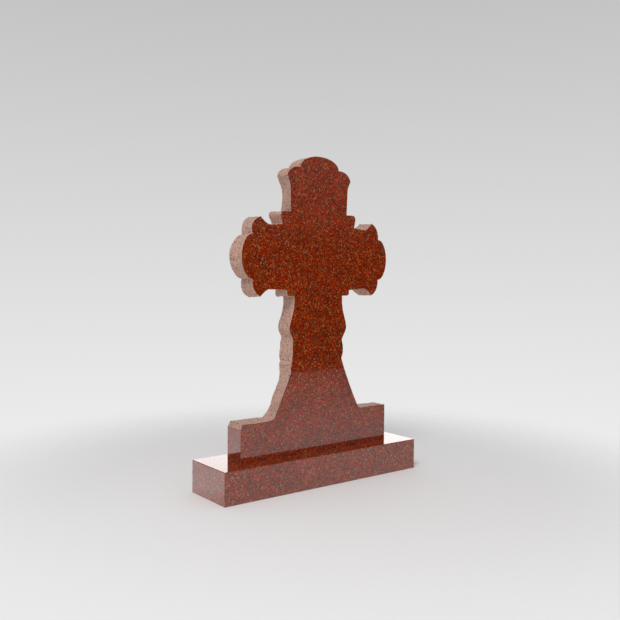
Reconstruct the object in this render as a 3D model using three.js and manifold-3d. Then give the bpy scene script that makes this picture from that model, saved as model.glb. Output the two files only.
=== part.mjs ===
// Orthodox cross headstone in red granite: a flat cross-shaped slab standing on a plain rectangular base.
// Millimetres, +Z up, front towards -Y, origin in the middle of the base's underside.
import * as THREE from "three";
import * as BufferGeometryUtils from "three/addons/utils/BufferGeometryUtils.js";
import Module from "manifold-3d";

// Base: a sawn and polished block with a narrow arris taken off every edge
const BASE_WIDTH = 834;
const BASE_DEPTH = 206;
const BASE_HEIGHT = 110;
const BASE_ARRIS = 1.5;

// The slab stands on the base with this clearance
const SEAT_GAP = 0.3;

// Slab: the width is shared by the foot and the arms, as both are cut from one stock slab
const SLAB_WIDTH = 638;
const SLAB_HEIGHT = 1023;
const CROSS_THICKNESS = 68;
const EDGE_PITCH = 1.5;

// Foot: thicker than the cross, flush with it in front, its back sloping in to the cross
const FOOT_THICKNESS = 80;
const FOOT_HEIGHT = 132;
const FOOT_PLAIN_HEIGHT = 112;

// Shaft, as half widths and as heights above the foot
const SHOULDER_HALF = 190;
const SHOULDER_FILLET = 11;
const NOTCH_HALF = 106;
const NOTCH_RISE = 188;
const LOW_SWELL_HALF = 113;
const WAIST_HALF = 107;
const WAIST_RISE = 255;
const SWELL_HALF = 127;
const SWELL_RISE = 298;
const SHAFT_HALF = 107;
const SHAFT_RISE = 388;

// Arms
const ARM_AXIS_HEIGHT = 673.5;
const ARM_ROOT_HALF = 111.5;
const ARM_NECK_HALF = 107;
const ARM_EAR_RISE = 25;
const ARM_EAR_SPREAD = 58;

// Upper limb, measured sideways from its own axis
const LIMB_ROOT_HALF = 124;
const LIMB_NECK_HALF = 127.5;
const LIMB_EAR_RISE = 13.5;
const LIMB_EAR_SPREAD = 56;

// The three budded ends share one form: a round bud between two pointed ears
const BUD_DEPTH = 41;
const EAR_BACK = 75;
const EAR_FLAT = 10;
const NECK_BACK = 111;

// Small blocks in the four corners of the crossing
const UPPER_BLOCK_RISE = 44.5;
const UPPER_BLOCK_REACH = 42;
const UPPER_BLOCK_BATTER = 6;
const UPPER_BLOCK_ROUND = 17;
const LOWER_BLOCK_DROP = 20;
const LOWER_BLOCK_REACH = 32;
const LOWER_BLOCK_ROUND = 13;

// Where each curve's handle lies, as shares of the way from its start to its end: first axis, second axis
const EAR_HOLLOW_HANDLE = [0.42, 0.1];
const EAR_CREST_HANDLE = [0.88, 0.22];
const FLARE_HANDLE = [0.76, 0.68];
const LOW_SWELL_SHARE = 0.4;
const SWELL_LOWER_HANDLES = [[0.45, 0.4], [1, 0.72]];
const SWELL_UPPER_HANDLES = [[0, 0.28], [0.9, 0.56]];

const CURVE_STEPS = 10;
const CREASE_ANGLE = Math.PI / 8;

const granite = {
  polished: new THREE.MeshStandardMaterial({ color: 0x7d3b27, roughness: 0.15, metalness: 0 }),
  base: new THREE.MeshStandardMaterial({ color: 0x77402f, roughness: 0.15, metalness: 0 }),
};

// The point that lies the given shares of the way from one point to another
function between(from, to, [first, second]) {
  return [THREE.MathUtils.lerp(from[0], to[0], first), THREE.MathUtils.lerp(from[1], to[1], second)];
}

// One side of a budded end, from the neck to the tip of the bud.
// The first axis runs back from the tip along the limb, the second is the distance from the limb's axis.
function budEdge(neckHalf, earRise, earSpread) {
  const earHalf = neckHalf + earRise;
  const budHalf = earHalf - earSpread;
  const neck = [NECK_BACK, neckHalf];
  const earTip = [EAR_BACK, earHalf];
  const earEnd = [BUD_DEPTH, budHalf + EAR_FLAT];
  const edge = new THREE.Path();
  edge.moveTo(...neck);
  edge.quadraticCurveTo(...between(neck, earTip, EAR_HOLLOW_HANDLE), ...earTip);
  edge.quadraticCurveTo(...between(earTip, earEnd, EAR_CREST_HANDLE), ...earEnd);
  edge.lineTo(BUD_DEPTH, budHalf);
  edge.absellipse(BUD_DEPTH, 0, BUD_DEPTH, budHalf, Math.PI / 2, Math.PI, false);
  return edge.getPoints(CURVE_STEPS);
}

// Foot, shoulder fillet and the hollow flare up to the notch
function traceFoot(path) {
  const footHalf = SLAB_WIDTH / 2;
  const flareFoot = [SHOULDER_HALF - SHOULDER_FILLET / 2, FOOT_HEIGHT + SHOULDER_FILLET];
  const notch = [NOTCH_HALF, FOOT_HEIGHT + NOTCH_RISE];
  path.moveTo(0, 0);
  path.lineTo(footHalf, 0);
  path.lineTo(footHalf, FOOT_HEIGHT);
  path.lineTo(SHOULDER_HALF + SHOULDER_FILLET, FOOT_HEIGHT);
  path.quadraticCurveTo(SHOULDER_HALF, FOOT_HEIGHT, ...flareFoot);
  path.quadraticCurveTo(...between(flareFoot, notch, FLARE_HANDLE), ...notch);
}

// Low swell, waist, main swell and the plain shaft above it
function traceShaft(path) {
  const notch = [NOTCH_HALF, FOOT_HEIGHT + NOTCH_RISE];
  const waist = [WAIST_HALF, FOOT_HEIGHT + WAIST_RISE];
  const swell = [SWELL_HALF, FOOT_HEIGHT + SWELL_RISE];
  const shaft = [SHAFT_HALF, FOOT_HEIGHT + SHAFT_RISE];
  const lowSwellHandle = 2 * LOW_SWELL_HALF - (NOTCH_HALF + WAIST_HALF) / 2;
  path.quadraticCurveTo(
    lowSwellHandle,
    THREE.MathUtils.lerp(notch[1], waist[1], LOW_SWELL_SHARE),
    ...waist,
  );
  path.bezierCurveTo(...SWELL_LOWER_HANDLES.flatMap((share) => between(waist, swell, share)), ...swell);
  path.bezierCurveTo(...SWELL_UPPER_HANDLES.flatMap((share) => between(swell, shaft, share)), ...shaft);
}

// Rounded block between the shaft and the arm's lower edge
function traceLowerBlock(path) {
  const armBottom = ARM_AXIS_HEIGHT - ARM_ROOT_HALF;
  const outer = SHAFT_HALF + LOWER_BLOCK_REACH;
  const bottom = armBottom - LOWER_BLOCK_DROP;
  path.lineTo(SHAFT_HALF, bottom);
  path.lineTo(outer - LOWER_BLOCK_ROUND, bottom);
  path.quadraticCurveTo(outer, bottom, outer, bottom + LOWER_BLOCK_ROUND);
  path.lineTo(outer, armBottom);
}

// Rounded block between the arm's upper edge and the upper limb, its side leaning out
function traceUpperBlock(path) {
  const armTop = ARM_AXIS_HEIGHT + ARM_ROOT_HALF;
  const outer = LIMB_ROOT_HALF + UPPER_BLOCK_REACH;
  const top = armTop + UPPER_BLOCK_RISE;
  path.lineTo(outer - UPPER_BLOCK_BATTER, armTop);
  path.lineTo(outer, top - UPPER_BLOCK_ROUND);
  path.quadraticCurveTo(outer, top, outer - UPPER_BLOCK_ROUND, top);
  path.lineTo(LIMB_ROOT_HALF, top);
}

// Right half of the slab's outline, from the middle of its underside to the crown
function halfOutline() {
  const armEdge = budEdge(ARM_NECK_HALF, ARM_EAR_RISE, ARM_EAR_SPREAD);
  const armEnd = SLAB_WIDTH / 2;
  const lowerArm = armEdge.map((p) => new THREE.Vector2(armEnd - p.x, ARM_AXIS_HEIGHT - p.y));
  const upperArm = armEdge.map((p) => new THREE.Vector2(armEnd - p.x, ARM_AXIS_HEIGHT + p.y)).reverse();
  const crownEdge = budEdge(LIMB_NECK_HALF, LIMB_EAR_RISE, LIMB_EAR_SPREAD);
  const crown = crownEdge.map((p) => new THREE.Vector2(p.y, SLAB_HEIGHT - p.x));

  const lower = new THREE.Path();
  traceFoot(lower);
  traceShaft(lower);
  traceLowerBlock(lower);
  const upper = new THREE.Path();
  upper.moveTo(upperArm.at(-1).x, upperArm.at(-1).y);
  traceUpperBlock(upper);
  return [
    ...lower.getPoints(CURVE_STEPS),
    ...lowerArm,
    ...upperArm.slice(1),
    ...upper.getPoints(CURVE_STEPS).slice(1),
    ...crown,
  ];
}

// The whole outline: the right half, then its mirror image back down the left
function slabShape() {
  const right = halfOutline();
  const left = right.slice(1, -1).map((p) => new THREE.Vector2(-p.x, p.y)).reverse();
  return new THREE.Shape([...right, ...left]);
}

// The cross with its edges pitched back to the front and back faces
function crossGeometry() {
  const geometry = new THREE.ExtrudeGeometry(slabShape(), {
    depth: CROSS_THICKNESS - 2 * EDGE_PITCH,
    bevelThickness: EDGE_PITCH,
    bevelSize: EDGE_PITCH,
    bevelOffset: -EDGE_PITCH,
    bevelSegments: 1,
  });
  geometry.rotateX(Math.PI / 2);
  geometry.translate(0, CROSS_THICKNESS - EDGE_PITCH - FOOT_THICKNESS / 2, 0);
  return geometry;
}

// The foot's square-edged block, drawn as its end view and run across the slab's width
function footGeometry() {
  const front = -FOOT_THICKNESS / 2;
  const back = FOOT_THICKNESS / 2;
  const slopeTop = front + CROSS_THICKNESS - EDGE_PITCH;
  const profile = new THREE.Shape();
  profile.moveTo(front, 0);
  profile.lineTo(back, 0);
  profile.lineTo(back, FOOT_PLAIN_HEIGHT);
  profile.lineTo(slopeTop, FOOT_HEIGHT - EDGE_PITCH);
  profile.lineTo(slopeTop, FOOT_PLAIN_HEIGHT);
  profile.lineTo(front, FOOT_PLAIN_HEIGHT);
  const geometry = new THREE.ExtrudeGeometry(profile, { depth: SLAB_WIDTH, bevelEnabled: false });
  geometry.rotateX(Math.PI / 2);
  geometry.rotateZ(Math.PI / 2);
  geometry.translate(-SLAB_WIDTH / 2, 0, 0);
  return geometry;
}

// Two closed geometries joined into one solid
async function join(first, second) {
  const wasm = await Module();
  wasm.setup();
  const [a, b] = [first, second].map((geometry) => {
    geometry.deleteAttribute("normal");
    geometry.deleteAttribute("uv");
    const merged = BufferGeometryUtils.mergeVertices(geometry);
    return new wasm.Manifold(
      new wasm.Mesh({
        numProp: 3,
        vertProperties: new Float32Array(merged.attributes.position.array),
        triVerts: new Uint32Array(merged.index.array),
      }),
    );
  });
  const mesh = a.add(b).getMesh();
  const joined = new THREE.BufferGeometry();
  joined.setAttribute("position", new THREE.BufferAttribute(mesh.vertProperties, 3));
  joined.setIndex(new THREE.BufferAttribute(mesh.triVerts, 1));
  return BufferGeometryUtils.toCreasedNormals(joined, CREASE_ANGLE);
}

// Slab cut as one piece: cross, shaft and foot
async function crossStele() {
  const stele = new THREE.Mesh(await join(crossGeometry(), footGeometry()), granite.polished);
  stele.name = "cross_stele";
  stele.position.z = BASE_HEIGHT + SEAT_GAP;
  return stele;
}

// Base block: a rectangle with its corners taken off, extruded with the same arris above and below
function base() {
  const halfWidth = BASE_WIDTH / 2;
  const halfDepth = BASE_DEPTH / 2;
  const corners = [[1, -1], [1, 1], [-1, 1], [-1, -1]];
  const plan = corners.flatMap(([sx, sy]) => {
    const onSide = new THREE.Vector2(sx * halfWidth, sy * (halfDepth - BASE_ARRIS));
    const onEnd = new THREE.Vector2(sx * (halfWidth - BASE_ARRIS), sy * halfDepth);
    return sx * sy > 0 ? [onSide, onEnd] : [onEnd, onSide];
  });
  const geometry = new THREE.ExtrudeGeometry(new THREE.Shape(plan), {
    depth: BASE_HEIGHT - 2 * BASE_ARRIS,
    bevelThickness: BASE_ARRIS,
    bevelSize: BASE_ARRIS,
    bevelOffset: -BASE_ARRIS,
    bevelSegments: 1,
  });
  geometry.translate(0, 0, BASE_ARRIS);
  const mesh = new THREE.Mesh(geometry, granite.base);
  mesh.name = "base";
  return mesh;
}

const headstone = new THREE.Group();
headstone.add(base(), await crossStele());

export default headstone;
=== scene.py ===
from math import pi, radians

import bmesh
import bpy
from mathutils import Matrix, Vector


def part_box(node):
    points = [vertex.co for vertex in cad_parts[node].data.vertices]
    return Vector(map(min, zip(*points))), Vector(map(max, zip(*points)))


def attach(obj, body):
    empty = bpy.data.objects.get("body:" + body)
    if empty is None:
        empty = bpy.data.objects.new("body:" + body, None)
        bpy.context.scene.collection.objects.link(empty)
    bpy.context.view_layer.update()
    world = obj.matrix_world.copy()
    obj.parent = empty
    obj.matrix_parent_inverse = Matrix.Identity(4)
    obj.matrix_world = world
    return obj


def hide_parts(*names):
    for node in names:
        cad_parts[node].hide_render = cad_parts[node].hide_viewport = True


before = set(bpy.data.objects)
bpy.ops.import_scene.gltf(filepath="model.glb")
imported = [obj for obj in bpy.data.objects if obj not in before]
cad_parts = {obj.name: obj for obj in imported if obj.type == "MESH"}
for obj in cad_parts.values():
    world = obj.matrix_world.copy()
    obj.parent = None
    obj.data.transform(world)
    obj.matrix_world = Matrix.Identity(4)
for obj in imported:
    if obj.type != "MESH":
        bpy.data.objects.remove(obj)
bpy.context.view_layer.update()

# Camera: a few paces in front of the stone and to its left, level with the lower
# part of its arms, with a lens of normal length.
CAMERA_LENS_MM = 43.2
CAMERA_SENSOR_MM = 36
CAMERA_PLACE = Vector((-1.609, -2.0635, 0.7144))
CAMERA_YAW = radians(37.81)
CAMERA_PITCH = radians(2.452)
CAMERA_ROLL = radians(0.47)

camera = bpy.data.objects.new("camera", bpy.data.cameras.new("camera"))
camera.data.lens = CAMERA_LENS_MM
camera.data.sensor_fit = "HORIZONTAL"
camera.data.sensor_width = CAMERA_SENSOR_MM
camera.matrix_world = (
    Matrix.Translation(CAMERA_PLACE)
    @ Matrix.Rotation(-CAMERA_YAW, 4, "Z")
    @ Matrix.Rotation(pi / 2 - CAMERA_PITCH, 4, "X")
    @ Matrix.Rotation(CAMERA_ROLL, 4, "Z")
)
bpy.context.scene.collection.objects.link(camera)
bpy.context.scene.camera = camera

# Granite, as both pieces are cut from it: coarse red alkali granite. Most crystals are brick-red to
# orange feldspar, a third is smoky quartz with black mica, and a few are tan plagioclase. One grain
# pattern runs through the whole stone, so polished and pitched faces show the same crystals.
FELDSPAR_MM = 4.4
QUARTZ_MM = 3.4
GRAIN_WANDER_MM = 2.4
FLECK_MM = 2.2
FLECK_LOW = 0.25
FLECK_HIGH = 0.75
FLECK_DARKEST = 0.8
FLECK_PALEST = 1.2
MOTTLE_MM = 60
MOTTLE_LOW = 0.3
MOTTLE_HIGH = 0.7
MOTTLE_DARKEST = 0.86
MOTTLE_PALEST = 1.14
QUARTZ_SHARE = 0.34
FELDSPARS = (
    (0.00, "8c1a01"),
    (0.26, "a23004"),
    (0.48, "7c1000"),
    (0.64, "aa4410"),
    (0.76, "783418"),
    (0.86, "54200e"),
    (0.94, "a26a42"),
)
QUARTZES = (
    (0.00, "30201a"),
    (0.24, "563420"),
    (0.55, "80360a"),
    (0.91, "96704c"),
)


def metres(mm):
    return mm / 1000


def srgb(code):
    channels = [int(code[i : i + 2], 16) / 255 for i in (0, 2, 4)]
    return [c / 12.92 if c <= 0.04045 else ((c + 0.055) / 1.055) ** 2.4 for c in channels] + [1]


def add(tree, kind, inputs=None, **settings):
    node = tree.nodes.new(kind)
    for name, value in settings.items():
        setattr(node, name, value)
    for socket, value in (inputs or {}).items():
        if isinstance(value, bpy.types.NodeSocket):
            tree.links.new(value, node.inputs[socket])
        else:
            node.inputs[socket].default_value = value
    return node


# The crystals' colours: each Voronoi cell is one crystal, and its own random number picks its mineral
def crystals(tree, warped, size, minerals):
    cells = add(tree, "ShaderNodeTexVoronoi", {"Vector": warped, "Scale": 1 / metres(size)})
    chance = add(tree, "ShaderNodeSeparateColor", {"Color": cells.outputs["Color"]}).outputs
    pick = add(tree, "ShaderNodeValToRGB", {"Fac": chance["Red"]})
    pick.color_ramp.interpolation = "CONSTANT"
    for share, _ in minerals[2:]:
        pick.color_ramp.elements.new(share)
    for element, (share, code) in zip(pick.color_ramp.elements, minerals):
        element.position = share
        element.color = srgb(code)
    return pick.outputs["Color"], chance["Green"]


def granite_colour(tree):
    place = add(tree, "ShaderNodeTexCoord").outputs["Object"]
    wander = add(
        tree,
        "ShaderNodeTexNoise",
        {"Vector": place, "Scale": 1 / metres(QUARTZ_MM), "Detail": 2.0},
    )
    warped = add(
        tree,
        "ShaderNodeVectorMath",
        {0: wander.outputs["Color"], 1: [metres(GRAIN_WANDER_MM)] * 3, 2: place},
        operation="MULTIPLY_ADD",
    ).outputs["Vector"]
    red, _ = crystals(tree, warped, FELDSPAR_MM, FELDSPARS)
    smoky, chance = crystals(tree, warped, QUARTZ_MM, QUARTZES)
    is_quartz = add(
        tree,
        "ShaderNodeMath",
        {0: chance, 1: QUARTZ_SHARE},
        operation="LESS_THAN",
    ).outputs[0]
    stone = add(
        tree,
        "ShaderNodeMix",
        {"Factor": is_quartz, "A": red, "B": smoky},
        data_type="RGBA",
    )

    # Each crystal is clouded, and broad patches of the stone are a little darker or paler
    fleck = add(
        tree,
        "ShaderNodeTexNoise",
        {"Vector": place, "Scale": 1 / metres(FLECK_MM), "Detail": 1.0},
    )
    mottle = add(
        tree,
        "ShaderNodeTexNoise",
        {"Vector": place, "Scale": 1 / metres(MOTTLE_MM), "Detail": 3.0},
    )
    cloud = add(tree, "ShaderNodeMapRange", {
        "Value": fleck.outputs["Fac"],
        "From Min": FLECK_LOW,
        "From Max": FLECK_HIGH,
        "To Min": FLECK_DARKEST,
        "To Max": FLECK_PALEST,
    })
    patch = add(tree, "ShaderNodeMapRange", {
        "Value": mottle.outputs["Fac"],
        "From Min": MOTTLE_LOW,
        "From Max": MOTTLE_HIGH,
        "To Min": MOTTLE_DARKEST,
        "To Max": MOTTLE_PALEST,
    })
    shade = add(
        tree,
        "ShaderNodeMath",
        {0: cloud.outputs[0], 1: patch.outputs[0]},
        operation="MULTIPLY",
    )
    colour = add(
        tree,
        "ShaderNodeVectorMath",
        {0: stone.outputs["Result"], "Scale": shade.outputs[0]},
        operation="SCALE",
    )
    return colour.outputs["Vector"], is_quartz


# Polished with fine grit to a mirror, so the eye gets deep wet colour and sharp reflections.
# Quartz takes the higher polish, and the softer feldspar stays a trace duller.
GRANITE_IOR = 1.6
FELDSPAR_POLISH = 0.075
QUARTZ_POLISH = 0.045


def polished_granite(name):
    material = bpy.data.materials.new(name)
    material.use_nodes = True
    tree = material.node_tree
    shader = tree.nodes["Principled BSDF"]
    shader.inputs["IOR"].default_value = GRANITE_IOR
    colour, is_quartz = granite_colour(tree)
    tree.links.new(colour, shader.inputs["Base Color"])
    polish = add(tree, "ShaderNodeMapRange", {
        "Value": is_quartz,
        "To Min": FELDSPAR_POLISH,
        "To Max": QUARTZ_POLISH,
    })
    tree.links.new(polish.outputs[0], shader.inputs["Roughness"])
    return material


# Slab: one piece of granite cut to a cross. Its broad faces and the foot's ends are polished, and
# the rest of its edge, with the top of those ends, is pitched with a chisel to a dry, sandy surface
# that swells and falls in by some millimetres. The edge is cut into a fine grid to carry that.
SLAB_FOOT_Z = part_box("cross_stele")[0].z
FOOT_PLAIN_HEIGHT = 0.112
CROSS_START = 0.264
GRID = 0.0028
LONGEST_EDGE = GRID * 1.2
WELD_DISTANCE = 1e-5
CUT_DISTANCE = 1e-6
FLAT_ANGLE = radians(0.4)
CORNER_ANGLE = radians(28)
SQUARE_TO_END = 0.99
SQUARE_TO_FRONT = 0.9
CORNER_BLEND = 4
ARRIS_RUN = 0.012
CHISEL_LUMP_MM = 34
CHISEL_LUMP_DEPTH = 0.0024
CHISEL_GRIT_MM = 6
CHISEL_GRIT_DEPTH = 0.0014
CHISEL_NOISE_LOW = 0.3
CHISEL_NOISE_HIGH = 0.7

# Where the mason's hand left the edge fuller or hollower: side (-1 left, 1 right, 0 both), distance
# from the middle, height above the slab's underside, reach, and how far it stands out in front and
# at the back
SWELLS = (
    (0, 0.124, 0.880, 0.080, 0, -0.0130),
    (0, 0.143, 0.946, 0.030, 0, -0.0040),
    (0, 0.246, 0.803, 0.030, 0, 0.0015),
    (0, 0.260, 0.785, 0.035, 0, 0.0030),
    (-1, 0.268, 0.775, 0.040, 0.0050, 0.0010),
    (0, 0.205, 0.785, 0.042, 0, 0.0100),
    (-1, 0.158, 0.826, 0.030, 0, 0.0055),
    (-1, 0.163, 0.792, 0.016, 0, -0.0030),
    (-1, 0.256, 0.545, 0.035, 0, 0.0040),
    (0, 0.319, 0.673, 0.070, 0, 0.0060),
    (0, 0.272, 0.562, 0.040, 0, 0.0040),
    (0, 0.222, 0.558, 0.040, 0, 0.0080),
    (0, 0.130, 0.540, 0.018, 0, 0.0040),
    (0, 0.107, 0.490, 0.045, 0, -0.0010),
    (-1, 0.107, 0.382, 0.024, 0.004, 0.0100),
    (0, 0.110, 0.348, 0.034, 0, 0.0090),
    (-1, 0.106, 0.312, 0.038, 0.009, 0.0130),
    (0, 0.135, 0.245, 0.050, 0, -0.0090),
    (0, 0.165, 0.185, 0.060, 0, -0.0100),
    (0, 0.185, 0.155, 0.040, 0, -0.0060),
    (-1, 0.260, 0.132, 0.110, -0.0045, 0),
    (1, 0.260, 0.132, 0.110, 0.0025, 0.0015),
)


def edge_grid(bm, pitched):
    low = min(v.co.y for v in bm.verts)
    high = max(v.co.y for v in bm.verts)
    for step in range(1, int((high - low) / GRID)):
        faces = [f for f in bm.faces if f[pitched]]
        edges = {e for f in faces for e in f.edges}
        verts = {v for f in faces for v in f.verts}
        bmesh.ops.bisect_plane(
            bm,
            geom=[*verts, *edges, *faces],
            dist=CUT_DISTANCE,
            plane_co=(0, low + step * GRID, 0),
            plane_no=(0, 1, 0),
        )
    while True:
        rough = [e for e in bm.edges if any(f[pitched] for f in e.link_faces)]
        long = [e for e in rough if e.calc_length() > LONGEST_EDGE]
        if not long:
            break
        bmesh.ops.subdivide_edges(bm, edges=long, cuts=1, use_grid_fill=True)


def sawn_slab():
    plain_top = SLAB_FOOT_Z + FOOT_PLAIN_HEIGHT
    bm = bmesh.new()
    bm.from_mesh(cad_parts["cross_stele"].data)
    bmesh.ops.remove_doubles(bm, verts=bm.verts, dist=WELD_DISTANCE)
    bmesh.ops.dissolve_limit(bm, angle_limit=FLAT_ANGLE, verts=bm.verts, edges=bm.edges)
    ends = [f for f in bm.faces if abs(f.normal.x) > SQUARE_TO_END]
    bmesh.ops.bisect_plane(
        bm,
        geom=[*bm.verts, *bm.edges, *ends],
        dist=CUT_DISTANCE,
        plane_co=(0, 0, plain_top),
        plane_no=(0, 0, 1),
    )
    pitched = bm.faces.layers.int.new("pitched")
    for face in bm.faces:
        face[pitched] = abs(face.normal.y) < SQUARE_TO_FRONT and face.calc_center_median().z > plain_top
    for edge in bm.edges:
        edge.smooth = edge.calc_face_angle(0) < CORNER_ANGLE
    edge_grid(bm, pitched)
    bmesh.ops.triangulate(bm, faces=[f for f in bm.faces if f[pitched] and len(f.verts) > 4])
    return bm, pitched


# Which way a point of the pitched edge moves, how far the hand's swells move it, and how deep
# the chisel bites there, which is nothing at the crisp front arris
def mark_edges(bm, pitched):
    outward = bm.verts.layers.float_vector.new("outward")
    swell = bm.verts.layers.float.new("swell")
    bite = bm.verts.layers.float.new("bite")
    front = min(v.co.y for v in bm.verts)
    back = max(v.co.y for v in bm.verts if v.co.z > SLAB_FOOT_Z + CROSS_START)
    for face in bm.faces:
        face.smooth = bool(face[pitched])
    ways = {}
    for vert in bm.verts:
        rough = [f for f in vert.link_faces if f[pitched]]
        if rough:
            way = sum((f.normal * f.calc_area() for f in rough), Vector())
            way.y = 0
            ways[vert] = way.normalized()

    # Blended along the edge, to keep the two sides of an inner corner from pushing into each other
    for _ in range(CORNER_BLEND):
        blended = {}
        for vert, way in ways.items():
            others = [edge.other_vert(vert) for edge in vert.link_edges]
            blended[vert] = sum((ways[other] for other in others if other in ways), way).normalized()
        ways = blended

    for vert, way in ways.items():
        for face in vert.link_faces:
            if not face[pitched]:
                way = way - way.dot(face.normal) * face.normal
        way.y = 0
        vert[outward] = way.normalized()
        depth = min(1, (vert.co.y - front) / (back - front))
        height = vert.co.z - SLAB_FOOT_Z
        lift = 0
        for side, middle, centre, reach, at_front, at_back in SWELLS:
            if side * vert.co.x < 0:
                continue
            gap = ((abs(vert.co.x) - middle) ** 2 + (height - centre) ** 2) / reach**2
            lift += (at_front + (at_back - at_front) * depth) * max(0, 1 - gap) ** 2
        vert[swell] = lift
        vert[bite] = min(1, (vert.co.y - front) / ARRIS_RUN)


def pitching_tree(polished, rough):
    tree = bpy.data.node_groups.new("pitched edges", "GeometryNodeTree")
    tree.interface.new_socket("Geometry", in_out="INPUT", socket_type="NodeSocketGeometry")
    for name in ("Lump size", "Lump depth", "Grit size", "Grit depth"):
        tree.interface.new_socket(name, in_out="INPUT", socket_type="NodeSocketFloat")
    tree.interface.new_socket("Geometry", in_out="OUTPUT", socket_type="NodeSocketGeometry")
    sizes = add(tree, "NodeGroupInput").outputs
    swell = add(tree, "GeometryNodeInputNamedAttribute", {"Name": "swell"}, data_type="FLOAT")
    bite = add(tree, "GeometryNodeInputNamedAttribute", {"Name": "bite"}, data_type="FLOAT")
    offset = swell.outputs["Attribute"]
    for kind in ("Lump", "Grit"):
        scale = add(tree, "ShaderNodeMath", {0: 1.0, 1: sizes[kind + " size"]}, operation="DIVIDE")
        noise = add(tree, "ShaderNodeTexNoise", {"Scale": scale.outputs[0], "Detail": 2.0})
        sunk = add(tree, "ShaderNodeMapRange", {
            "Value": noise.outputs["Fac"],
            "From Min": CHISEL_NOISE_LOW,
            "From Max": CHISEL_NOISE_HIGH,
            "To Min": -1.0,
            "To Max": 0.0,
        })
        depth = add(
            tree,
            "ShaderNodeMath",
            {0: bite.outputs["Attribute"], 1: sizes[kind + " depth"]},
            operation="MULTIPLY",
        )
        offset = add(
            tree,
            "ShaderNodeMath",
            {0: sunk.outputs["Result"], 1: depth.outputs[0], 2: offset},
            operation="MULTIPLY_ADD",
        ).outputs[0]
    way = add(tree, "GeometryNodeInputNamedAttribute", {"Name": "outward"}, data_type="FLOAT_VECTOR")
    move = add(
        tree,
        "ShaderNodeVectorMath",
        {0: way.outputs["Attribute"], "Scale": offset},
        operation="SCALE",
    )
    moved = add(
        tree,
        "GeometryNodeSetPosition",
        {"Geometry": sizes["Geometry"], "Offset": move.outputs["Vector"]},
    )
    is_rough = add(tree, "GeometryNodeInputNamedAttribute", {"Name": "pitched"}, data_type="INT")
    result = add(tree, "GeometryNodeRealizeInstances", {"Geometry": moved.outputs[0]})
    result = add(tree, "GeometryNodeSetMaterial", {"Geometry": result.outputs[0], "Material": polished})
    result = add(
        tree,
        "GeometryNodeSetMaterial",
        {"Geometry": result.outputs[0], "Selection": is_rough.outputs["Attribute"], "Material": rough},
    )
    add(tree, "NodeGroupOutput", {"Geometry": result.outputs[0]})
    return tree


# Pitched: broken by the chisel, so crushed feldspar scatters the light and the red turns to a dry
# sandy pink, peppered with whole grains of quartz and mica that stay dark
CRUSHED_ROUGHNESS = 0.85
DUST = "debaa9"
DUST_SHARE = 0.72
PEPPER = "43342c"
PEPPER_MM = 3.2
PEPPER_SHARE = 0.2
PEPPER_STRENGTH = 0.6
CHISEL_MARK_MM = 4.5
CHISEL_MARK_DEPTH_MM = 2.5
CHISEL_MARK_STRENGTH = 0.8


def pitched_granite():
    material = bpy.data.materials.new("pitched red granite")
    material.use_nodes = True
    tree = material.node_tree
    shader = tree.nodes["Principled BSDF"]
    shader.inputs["Roughness"].default_value = CRUSHED_ROUGHNESS
    colour, _ = granite_colour(tree)
    dusty = add(
        tree,
        "ShaderNodeMix",
        {"Factor": DUST_SHARE, "A": colour, "B": srgb(DUST)},
        data_type="RGBA",
    ).outputs["Result"]
    place = add(tree, "ShaderNodeTexCoord").outputs["Object"]
    grains = add(tree, "ShaderNodeTexVoronoi", {"Vector": place, "Scale": 1 / metres(PEPPER_MM)})
    chance = add(tree, "ShaderNodeSeparateColor", {"Color": grains.outputs["Color"]}).outputs["Blue"]
    is_dark = add(tree, "ShaderNodeMath", {0: chance, 1: PEPPER_SHARE}, operation="LESS_THAN")
    pepper = add(
        tree,
        "ShaderNodeMath",
        {0: is_dark.outputs[0], 1: PEPPER_STRENGTH},
        operation="MULTIPLY",
    )
    peppered = add(
        tree,
        "ShaderNodeMix",
        {"Factor": pepper.outputs[0], "A": dusty, "B": srgb(PEPPER)},
        data_type="RGBA",
    ).outputs["Result"]
    tree.links.new(peppered, shader.inputs["Base Color"])
    marks = add(
        tree,
        "ShaderNodeTexNoise",
        {"Vector": place, "Scale": 1 / metres(CHISEL_MARK_MM), "Detail": 4.0},
    )
    bump = add(tree, "ShaderNodeBump", {
        "Height": marks.outputs["Fac"],
        "Strength": CHISEL_MARK_STRENGTH,
        "Distance": metres(CHISEL_MARK_DEPTH_MM),
    })
    tree.links.new(bump.outputs["Normal"], shader.inputs["Normal"])
    return material


bm, pitched_layer = sawn_slab()
mark_edges(bm, pitched_layer)
blank = bpy.data.meshes.new("slab blank")
bm.to_mesh(blank)
bm.free()
slab = bpy.data.objects.new("slab", blank)
bpy.context.scene.collection.objects.link(slab)
tree = pitching_tree(polished_granite("polished red granite"), pitched_granite())
modifier = slab.modifiers.new("pitched edges", "NODES")
modifier.node_group = tree
sizes = {
    "Lump size": metres(CHISEL_LUMP_MM),
    "Lump depth": CHISEL_LUMP_DEPTH,
    "Grit size": metres(CHISEL_GRIT_MM),
    "Grit depth": CHISEL_GRIT_DEPTH,
}
for item in tree.interface.items_tree:
    if item.name in sizes:
        modifier[item.identifier] = sizes[item.name]
evaluated = slab.evaluated_get(bpy.context.evaluated_depsgraph_get())
slab.data = bpy.data.meshes.new_from_object(evaluated)
slab.modifiers.clear()
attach(slab, "root")
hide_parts("cross_stele")

# Base: a sawn block of the same granite, polished all over, with a narrow arris
# ground on every edge. The slab is bedded on the middle of its top.
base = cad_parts["base"]
base.data.materials.clear()
base.data.materials.append(polished_granite("polished red granite base"))

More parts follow.
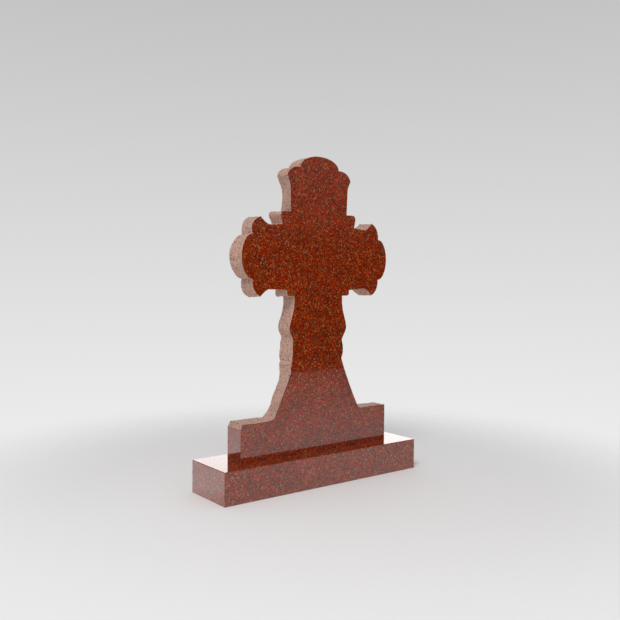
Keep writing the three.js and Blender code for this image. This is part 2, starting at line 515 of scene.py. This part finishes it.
# Floor: plain pale paper that fades into the pale room around it. It ends a few paces in front of
# the stone, so the polished front mirrors pale paper low down and the dark room higher up. In
# mirrors the paper glows as painted light, bright near the stone and brightest behind it on the left.
FLOOR_FRONT = -2.5
FLOOR_BACK = 14
FLOOR_HALF = 10
PAPER = "fbfafa"
PAPER_ROUGHNESS = 0.9
FADE_START = 0.7
FADE_END = 1.7
GLOW_START = 0.6
GLOW_REACH = 2.8
GLOW_NEAR = 1.08
GLOW_FAR = 0.45
LEFT_START = 0.3
LEFT_END = 0.6
GLOW_LEFT = 1.65

floor_mesh = bpy.data.meshes.new("floor")
floor_mesh.from_pydata(
    [
        (-FLOOR_HALF, FLOOR_FRONT, 0),
        (FLOOR_HALF, FLOOR_FRONT, 0),
        (FLOOR_HALF, FLOOR_BACK, 0),
        (-FLOOR_HALF, FLOOR_BACK, 0),
    ],
    [],
    [(0, 1, 2, 3)],
)
floor = bpy.data.objects.new("floor", floor_mesh)
bpy.context.scene.collection.objects.link(floor)
floor_material = bpy.data.materials.new("matt white paper with painted glow")
floor_material.use_nodes = True
tree = floor_material.node_tree
paper = tree.nodes["Principled BSDF"]
paper.inputs["Base Color"].default_value = srgb(PAPER)
paper.inputs["Roughness"].default_value = PAPER_ROUGHNESS
place = add(tree, "ShaderNodeTexCoord").outputs["Object"]
axes = add(tree, "ShaderNodeSeparateXYZ", {"Vector": place}).outputs
reach = add(tree, "ShaderNodeVectorMath", {0: place}, operation="LENGTH").outputs["Value"]
ray = add(tree, "ShaderNodeLightPath").outputs
faded = add(tree, "ShaderNodeMapRange", {
    "Value": reach,
    "From Min": FADE_START,
    "From Max": FADE_END,
}, interpolation_type="SMOOTHSTEP")
open_air = add(
    tree,
    "ShaderNodeMath",
    {0: faded.outputs[0], 1: ray["Is Camera Ray"]},
    operation="MULTIPLY",
)
air = add(tree, "ShaderNodeBsdfTransparent")
surface = add(
    tree,
    "ShaderNodeMixShader",
    {0: open_air.outputs[0], 1: paper.outputs[0], 2: air.outputs[0]},
)
# Painted light: seen only in mirror rays, the paper glows with no lamp behind it, brighter near the
# stone and brightest behind it on the left
near = add(tree, "ShaderNodeMapRange", {
    "Value": reach,
    "From Min": GLOW_START,
    "From Max": GLOW_REACH,
    "To Min": GLOW_NEAR,
    "To Max": GLOW_FAR,
})
leftness = add(tree, "ShaderNodeMath", {0: axes["Y"], 1: axes["X"]}, operation="SUBTRACT")
left = add(tree, "ShaderNodeMapRange", {
    "Value": leftness.outputs[0],
    "From Min": LEFT_START,
    "From Max": LEFT_END,
    "To Min": 1.0,
    "To Max": GLOW_LEFT,
})
mirrored = add(tree, "ShaderNodeMath", {0: near.outputs[0], 1: left.outputs[0]}, operation="MULTIPLY")
glow = add(tree, "ShaderNodeEmission", {"Color": srgb("ffffff"), "Strength": mirrored.outputs[0]})
surface = add(
    tree,
    "ShaderNodeMixShader",
    {0: ray["Is Glossy Ray"], 1: surface.outputs[0], 2: glow.outputs[0]},
)
tree.links.new(surface.outputs[0], tree.nodes["Material Output"].inputs["Surface"])
floor_mesh.materials.append(floor_material)

# Light: one large soft lamp high in front on the left, and a pale room all around. In the stone's
# mirror the room is dark in front, paler overhead, and has a bright window low behind on the right.
LAMP_PLACE = Vector((-2.5, -2.2, 4.3))
LAMP_AIM = Vector((0, 0, 0.5))
LAMP_SIZE = 2.0
LAMP_WATTS = 120
ROOM_LIGHT = 0.42
PALE_LOW = -0.2
PALE_HIGH = 0.35
PALE_BELOW = 0.84
PALE_ABOVE = 0.54
DARK_ROOM = 0.008
OVERHEAD_START = 0.04
OVERHEAD_END = 0.14
OVERHEAD = 0.24
WINDOW = 2.5
WINDOW_LEFT = 0.3
WINDOW_LEFT_FULL = 0.42
WINDOW_FRONT = 0.3
WINDOW_FRONT_FULL = 0.5
WINDOW_TOP_FULL = 0.3
WINDOW_TOP = 0.45

lamp = bpy.data.objects.new("key", bpy.data.lights.new("key", "AREA"))
lamp.data.shape = "DISK"
lamp.data.size = LAMP_SIZE
lamp.data.energy = LAMP_WATTS
lamp.location = LAMP_PLACE
lamp.rotation_euler = (LAMP_AIM - LAMP_PLACE).to_track_quat("-Z", "Y").to_euler()
bpy.context.scene.collection.objects.link(lamp)

world = bpy.data.worlds.new("studio")
bpy.context.scene.world = world
world.use_nodes = True
tree = world.node_tree
background = tree.nodes["Background"]
background.inputs["Color"].default_value = srgb("ffffff")
way = add(tree, "ShaderNodeTexCoord").outputs["Generated"]
axes = add(tree, "ShaderNodeSeparateXYZ", {"Vector": way}).outputs
ray = add(tree, "ShaderNodeLightPath").outputs
pale = add(tree, "ShaderNodeMapRange", {
    "Value": axes["Z"],
    "From Min": PALE_LOW,
    "From Max": PALE_HIGH,
    "To Min": PALE_BELOW,
    "To Max": PALE_ABOVE,
})
overhead = add(tree, "ShaderNodeMapRange", {
    "Value": axes["Z"],
    "From Min": OVERHEAD_START,
    "From Max": OVERHEAD_END,
    "To Min": DARK_ROOM,
    "To Max": OVERHEAD,
})
right = add(tree, "ShaderNodeMapRange", {
    "Value": axes["X"],
    "From Min": WINDOW_LEFT,
    "From Max": WINDOW_LEFT_FULL,
})
behind = add(tree, "ShaderNodeMapRange", {
    "Value": axes["Y"],
    "From Min": WINDOW_FRONT,
    "From Max": WINDOW_FRONT_FULL,
})
low = add(tree, "ShaderNodeMapRange", {
    "Value": axes["Z"],
    "From Min": WINDOW_TOP_FULL,
    "From Max": WINDOW_TOP,
    "To Min": 1.0,
    "To Max": 0.0,
})
window = add(tree, "ShaderNodeMath", {0: right.outputs[0], 1: behind.outputs[0]}, operation="MULTIPLY")
window = add(tree, "ShaderNodeMath", {0: window.outputs[0], 1: low.outputs[0]}, operation="MULTIPLY")
mirrored = add(
    tree,
    "ShaderNodeMath",
    {0: window.outputs[0], 1: WINDOW, 2: overhead.outputs[0]},
    operation="MULTIPLY_ADD",
)
strength = add(
    tree,
    "ShaderNodeMix",
    {"Factor": ray["Is Glossy Ray"], "A": ROOM_LIGHT, "B": mirrored.outputs[0]},
    data_type="FLOAT",
)
strength = add(
    tree,
    "ShaderNodeMix",
    {"Factor": ray["Is Camera Ray"], "A": strength.outputs["Result"], "B": pale.outputs[0]},
    data_type="FLOAT",
)
tree.links.new(strength.outputs["Result"], background.inputs["Strength"])
bpy.context.scene.view_settings.view_transform = "Standard"
